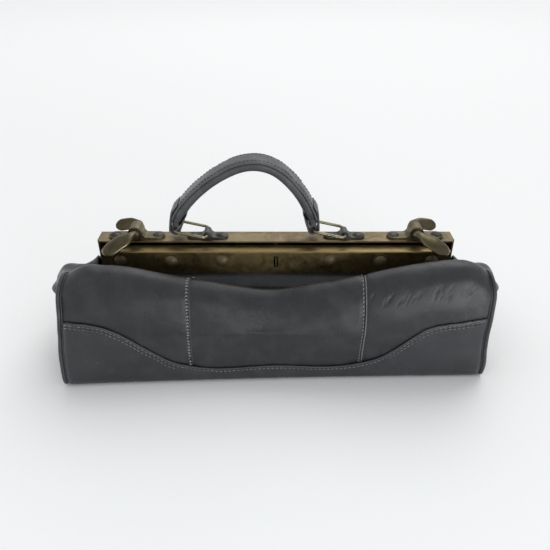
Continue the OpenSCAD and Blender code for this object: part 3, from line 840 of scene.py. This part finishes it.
def end_fold(side, front):
    """Half of an end: a sheet from a corner line to the middle line."""
    rows = 34
    rim = corner_line(front_profile if front else back_profile, side)
    count = len(rim)
    fold = catmull([(side * x, 0, z) for x, z in FOLD], count)
    share = np.linspace(0, 1, rows)[:, None]
    along = np.linspace(0, 1, count)
    inward = smooth(0.8, 1.0, along)
    rim_x = (rim[:, 0] - side * 0.0012) * (1 - inward) + side * FRAME_END * inward
    sunk_y = rim[:, 1] + (0.0013 if front else -0.0013) * (1 - inward)
    toward = np.sin(share * math.pi / 2) ** 1.25
    x = rim_x + (fold[:, 0] - rim_x) * toward
    z = rim[:, 2] + (fold[:, 2] - rim[:, 2]) * toward
    g = np.stack([x, sunk_y * (1 - share), z], 2)
    along = along[None, :]
    loose = np.sin(share * math.pi)
    buckle = 0.0042 * np.sin(along * 9.4 + share * 2.2) * loose * smooth(0.05, 0.35, along)
    pleat = 0.0035 * np.sin(share * 9.4 + 0.6) * smooth(0.45, 0.75, along) * (1 - smooth(0.93, 1, along))
    soft = noise(g, 0.055, 11) * 0.0009 + noise(g, 0.02, 12) * 0.0003
    low_down = 1 - smooth(0.42, 0.68, along)
    g[..., 0] += side * ((buckle + pleat) * low_down + soft) * loose * (1 - smooth(0.82, 0.98, along))
    rise = g[..., 2] - EAR_Z
    ear = np.exp(-(rise / np.where(rise > 0, 0.011, 0.024)) ** 2) * np.exp(-((share - 0.78) / 0.24) ** 2)
    g[..., 0] += side * (0.0145 if front else 0.003) * ear * (1 - smooth(0.5, 0.7, along))
    g[..., 2] = np.maximum(g[..., 2], 0.0026)
    return g


def make_end(side_name, side, front):
    """One half of an end fold, the piping along its corner and the narrow hem behind the piping."""
    count = 90
    word = "front" if front else "back"
    g = end_fold(side, front)
    half = "front" if front else "rear"
    obj = soft_sheet(front, f"gusset_{side_name}_{half}_half", g, [mat_leather], outward(g))
    bend(obj, front)
    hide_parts(f"gusset_{side_name}")
    line = corner_line(front_profile if front else back_profile, side)
    line = line[:-9 if front else -6] + np.array([side * 0.0012, 0, 0])
    line[:, 2] = np.maximum(line[:, 2], 0.0024)
    line = resample(line, count)
    taper = PIPING_R - 0.0010 * smooth(0.88, 1, np.linspace(0, 1, count))
    cord = tube_mesh(f"piping_{word}_{side_name}_leather", line, taper, mat_piping, 14)
    bend(cord, front)
    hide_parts(f"piping_{word}_{side_name}")
    up = np.cross(np.gradient(line, axis=0), [1, 0, 0])
    up /= np.linalg.norm(up, axis=1, keepdims=True)
    if (up[20, 1] > 0) == front:
        up = -up
    hem_line = line + up * 0.0002 - np.array([side * 0.0030, 0, 0])
    hem = tube_mesh(f"piping_{word}_{side_name}_edge", hem_line, 0.0009, mat_leather, 8)
    bend(hem, front)


for side_name, side in (("left", -1), ("right", 1)):
    make_end(side_name, side, True)
    make_end(side_name, side, False)


def make_pleats():
    """The inner pleat of each end, which fills the gap as the two halves spread."""
    along = np.linspace(0, 1, 40)
    for side_name, side in (("left", -1), ("right", 1)):
        fold = catmull([(side * (x - 0.006), 0, z - 0.004) for x, z in FOLD[:-2]], len(along))
        columns = []
        for share in np.linspace(-1, 1, 33):
            y = share * (0.042 - 0.030 * smooth(0.3, 0.62, along))
            x = fold[:, 0] - side * 4 * y ** 2 * smooth(0.2, 0.9, along)
            z = fold[:, 2] - 0.48 * np.abs(y) * smooth(0.3, 1, along)
            columns.append(np.column_stack([x, y, np.maximum(z, 0.004)]))
        g = np.array(columns)
        sheet_mesh(f"gusset_{side_name}_pleat", g, 0.0016, [mat_leather, mat_lining], "bag",
                   outward(g))


make_pleats()


def make_lining():
    """Inner tub of woven lining: one sheet from front to back, and one at each end."""
    half_x = 0.2085
    count = 60
    path = catmull([(-0.0795, 0.052), (-0.0805, 0.03), (-0.079, 0.012), (-0.072, 0.0072), (-0.03, 0.0066),
                    (0.03, 0.0066), (0.072, 0.0072), (0.079, 0.012), (0.0805, 0.03), (0.0795, 0.038)], count)
    g = np.array([np.column_stack([np.full(count, share * half_x), path])
                  for share in np.linspace(-1, 1, 60)])
    g[..., 1] += noise(g, 0.05, 31) * 0.0006
    tub = sheet_mesh("lining_cloth", g, LINING_T, [mat_lining], "bag", outward(g))
    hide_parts("lining")
    for side_name, side in (("left", -1), ("right", 1)):
        y, z = np.meshgrid(np.linspace(-0.0785, 0.0785, 30), np.linspace(0.0072, 0.04, 10), indexing="ij")
        g = np.stack([np.full(y.shape, side * 0.2), y, z], 2)
        g[..., 0] = side * (half_x + 0.0005) + noise(g, 0.05, 32) * 0.0006
        sheet_mesh(f"lining_end_{side_name}", g, LINING_T, [mat_lining], "bag", outward(g))


make_lining()


# ---------- clips ----------

def sweep(path, hint, half_w, half_t, sides=26, power=0.85, crown=0.0):
    """Closed skin around a path: half_w to both sides, half_t up and down, arched by crown."""
    path = np.array(path, float)
    n = len(path)
    verts, faces = [], []
    for i in range(n):
        d = path[min(n - 1, i + 1)] - path[max(0, i - 1)]
        d /= np.linalg.norm(d)
        up = np.array(hint[i] if np.ndim(hint) > 1 else hint, float)
        up = up - d * (up @ d)
        up /= np.linalg.norm(up)
        across = np.cross(d, up)
        for k in range(sides):
            a = 2 * math.pi * k / sides
            c, t = math.cos(a), math.sin(a)
            c, t = math.copysign(abs(c) ** power, c), math.copysign(abs(t) ** power, t)
            rise = half_t[i] * t + crown * half_w[i] * (1 - c * c)
            verts.append(path[i] + across * half_w[i] * c + up * rise)
    for i in range(n - 1):
        for k in range(sides):
            l = (k + 1) % sides
            faces.append((i * sides + k, i * sides + l, (i + 1) * sides + l, (i + 1) * sides + k))
    faces.append([k for k in range(sides)][::-1])
    faces.append([(n - 1) * sides + k for k in range(sides)])
    return verts, faces


def joined(name, skins, materials, body):
    """One object from several skins."""
    verts, faces = [], []
    for v, f in skins:
        faces += [[k + len(verts) for k in face] for face in f]
        verts += list(v)
    return new_object(name, verts, faces, materials, body)


CLIP = np.array([0.157, 0.0065, 0.1375])        # middle of the right clip's shaft
# middle lines of a clip's two lobes, from the shaft's end
LOBES = {
    "front": [(0, -0.0110, 0), (0, -0.0155, 0.0010), (-0.0040, -0.0215, 0.0016), (-0.0115, -0.0275, 0.0000),
              (-0.0200, -0.0325, -0.0045), (-0.0300, -0.0365, -0.0105)],
    "rear": [(0, 0.0110, 0), (0, 0.0148, 0.0000), (-0.0050, 0.0172, -0.0002), (-0.0125, 0.0185, -0.0010),
             (-0.0205, 0.0190, -0.0024), (-0.0285, 0.0190, -0.0044)],
}


def make_clips():
    """Each clip is two flattened lobes on a round shaft."""
    count, shaft_count, shaft_r = 44, 14, 0.0051
    t = np.linspace(0, 1, count)
    round_end = np.sqrt(np.maximum(1 - np.clip((t - 0.78) / 0.22, 0, 1) ** 2, 0.0004))
    for side_name, side in (("left", -1), ("right", 1)):
        skins = []
        for word, points in LOBES.items():
            path = catmull([(side * -x, y, z) for x, y, z in points], count) + CLIP * np.array([side, 1, 1])
            spread = 0.0044 if word == "front" else 0.0026
            half_w = (0.0049 + spread * smooth(0.10, 0.45, t) - 0.0012 * smooth(0.75, 1, t)) * round_end
            half_t = (0.0047 - 0.0021 * smooth(0.10, 0.5, t)) * round_end ** 0.7
            tip = np.array([side * 0.28, -0.55, 0.85] if word == "front" else [side * 0.15, -0.6, 0.8])
            turn = smooth(0.05, 0.5, t)[:, None]
            hint = np.array([0, 0, 1.0]) * (1 - turn) + tip * turn + np.array([side * 0.3, 0, 0]) * (1 - turn)
            skins.append(sweep(path, hint, half_w, half_t, crown=0.14 if word == "front" else -0.12))
        shaft = [(side * CLIP[0], CLIP[1] + y, CLIP[2]) for y in np.linspace(-0.0130, 0.0130, shaft_count)]
        radius = np.full(shaft_count, shaft_r)
        skins.append(sweep(shaft, (0, 0, 1), radius, radius, 24, 1.0))
        lever = joined(f"clip_lever_{side_name}_cast", skins, [mat_clip], f"clip_{side_name}")
        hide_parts(f"clip_lever_{side_name}")


make_clips()


# ---------- handle ----------

ARCH_X, ARCH_Y, ARCH_Z = -0.03508, 0.0065, 0.1431       # middle of the line between the handle's feet
ARCH_FIRST = 16         # degrees up the arch at which the covered grip starts
FOOT = 0.077            # distance from the middle to a foot
THREAD = (0.0042, 0.0029, 0.0006)                       # pitch, length and width of the handle's stitches


def arch(angle):
    """Centre line of the handle, which leans to the right."""
    s, c = np.sin(np.radians(angle)), np.cos(np.radians(angle))
    return np.stack([ARCH_X + FOOT * c + 0.012 * s * s * (1 - c), np.full(np.shape(s), ARCH_Y),
                     ARCH_Z + 0.075 * (0.72 * s + 0.28 * s * s)], -1)


def arch_up(path):
    """Directions away from the arch's inside, one per point."""
    d = np.gradient(path, axis=0)
    n = np.stack([-d[:, 2], np.zeros(len(d)), d[:, 0]], 1)
    n /= np.linalg.norm(n, axis=1, keepdims=True)
    return n * np.sign(n[len(n) // 2, 2])


def make_handle():
    """A padded core under a stitched top strip."""
    count = 150
    path = resample(arch(np.linspace(ARCH_FIRST - 4, 180 - ARCH_FIRST + 4, 200)), count)
    up = arch_up(path)
    t = np.linspace(0, 1, count)
    ends = smooth(0, 0.05, t) * (1 - smooth(0.95, 1, t))
    soft = noise(path, 0.05, 41) * 0.00025
    half_w = 0.0128 - 0.0012 * (1 - ends) + soft
    half_t = 0.0062 - 0.0008 * (1 - ends) + soft
    skin = sweep(path - up * 0.0009, up, half_w, half_t, 36, 0.72)
    core = joined("handle_core", [skin], [mat_handle], "handle")
    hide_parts("handle_cover")
    across = np.linspace(-1, 1, 17)
    top = path[:, None] + up[:, None] * (0.0051 + 0.0012 * (1 - across ** 4))[None, :, None]
    top = top + np.array([0, 1.0, 0]) * (across * 0.0137)[None, :, None]
    top = top + up[:, None] * (noise(top, 0.03, 42) * 0.00025)[..., None]
    sign = np.sign((grid_normals(top) * up[:, None]).sum(2).mean())
    sheet_mesh("handle_top_strip", top, 0.0021, [mat_handle], "handle", sign)
    for word, k in (("front", 2), ("back", 14)):
        stitches(f"handle_stitches_{word}", top[4:-4, k] + up[4:-4] * 0.0001, up[4:-4], *THREAD,
                 mat_dark_thread, "handle", "handle_leather")


def make_handle_loops():
    """A strap around each ring's outer bar, with both ends sewn over the handle's core."""
    count, filler_count, row_count = 80, 24, 12
    for side_name, side in (("left", -1), ("right", 1)):
        angle = ARCH_FIRST if side > 0 else 180 - ARCH_FIRST

        def beside(turn_on, off):
            """A point off the arch's centre line, turn_on degrees above the strap's seat."""
            here, ahead = arch(np.array(angle + side * turn_on)), arch(np.array(angle + side * (turn_on + 1)))
            d = (ahead - here) / np.linalg.norm(ahead - here)
            return here + np.array([d[2], 0, -d[0]]) * side * off

        seat = beside(0, 0)
        out = (beside(0, 0.01) - seat) / 0.01
        way = np.array([-out[2] * side, 0, out[0] * side])
        foot = np.array([ARCH_X + side * FOOT, ARCH_Y, ARCH_Z])
        turn = [foot + np.array([side * math.cos(a), 0, -math.sin(a)]) * 0.0056
                for a in np.linspace(0.15, 3.0, 7)]
        outside = [beside(8.5, 0.0068), beside(4, 0.0073), beside(0, 0.0072)]
        path = catmull(outside + turn + [beside(0, -0.0076), beside(5, -0.0076)], count)
        tongue = [seat + way * 0.006, seat, (seat + foot) / 2 + out * 0.0004, foot + way * 0.0042]
        filler = sweep(catmull(tongue, filler_count), out, np.full(filler_count, 0.0095),
                       np.linspace(0.0058, 0.0040, filler_count), 24, 0.6)
        t = np.linspace(0, 1, count)
        low = np.exp(-((t - 0.5) / 0.17) ** 2)
        half_w = 0.0132 - 0.0050 * low
        half_t = 0.0014 * (1 - 0.6 * smooth(0.7, 1, np.abs(t * 2 - 1)))
        skin = sweep(path, path - path.mean(0), half_w, half_t, 24, 0.5)
        strap = joined(f"handle_loop_{side_name}_strap", [skin, filler], [mat_handle], "handle")
        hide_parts(f"handle_loop_{side_name}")
        row = np.array([beside(6.5, 0.0082) + np.array([0, y, 0])
                        for y in np.linspace(-0.011, 0.011, row_count)])
        stitches(f"handle_loop_{side_name}_stitches", row, [out] * row_count, *THREAD, mat_dark_thread,
                 "handle", "handle_leather")


make_handle()
make_handle_loops()


# ---------- camera, light, floor ----------

def staged(name, data, place=(0, 0, 0)):
    """A camera or a light in the scene."""
    obj = bpy.data.objects.new(name, data)
    bpy.context.scene.collection.objects.link(obj)
    obj.location = place
    return obj


def area_light(name, width, height, watts, place, target, colour=(1, 1, 1)):
    obj = staged(name, bpy.data.lights.new(name, "AREA"), place)
    obj.data.shape = "RECTANGLE"
    obj.data.size = width
    obj.data.size_y = height
    obj.data.energy = watts
    obj.data.color = colour
    obj.rotation_euler = (Vector(target) - obj.location).to_track_quat("-Z", "Y").to_euler()


PHOTO_PITCH = 32.2      # degrees the camera looks down
FLOOR_HALF = 6

camera = staged("camera", bpy.data.cameras.new("camera"), (-0.001, -0.5585, 0.434))
camera.rotation_euler = (math.radians(90 - PHOTO_PITCH), 0, 0)
camera.data.sensor_width = 36
camera.data.lens = 36.98
camera.data.clip_start = 0.02
bpy.context.scene.camera = camera

mat_floor = Nodes("floor_paper").done((0.87, 0.877, 0.872), 0.7)
corners = [(x * FLOOR_HALF, y * FLOOR_HALF, 0) for x, y in ((-1, -1), (1, -1), (1, 1), (-1, 1))]
floor = new_object("floor", corners, [(0, 1, 2, 3)], [mat_floor], None, False)

sun = staged("soft_sun", bpy.data.lights.new("soft_sun", "SUN"))
sun.data.energy = 1.0
sun.data.angle = math.radians(45)
sun.data.color = (1, 0.995, 0.98)
sun.rotation_euler = Vector((0.32, 0.62, 1)).to_track_quat("Z", "Y").to_euler()
area_light("window_glow", 0.9, 0.36, 13, (0.95, -1.75, 0.22), (0.1, 0, 0.1), (0.93, 0.97, 1))
area_light("back_glow", 2.4, 1.0, 3, (0, 2.3, 1.5), (0, 1.1, 0))

world = bpy.data.worlds.new("studio")
world.use_nodes = True
sky = world.node_tree.nodes["Background"]
sky.inputs["Color"].default_value = (0.965, 0.98, 1, 1)
sky.inputs["Strength"].default_value = 0.76
bpy.context.scene.world = world
bpy.context.scene.view_settings.view_transform = "Standard"
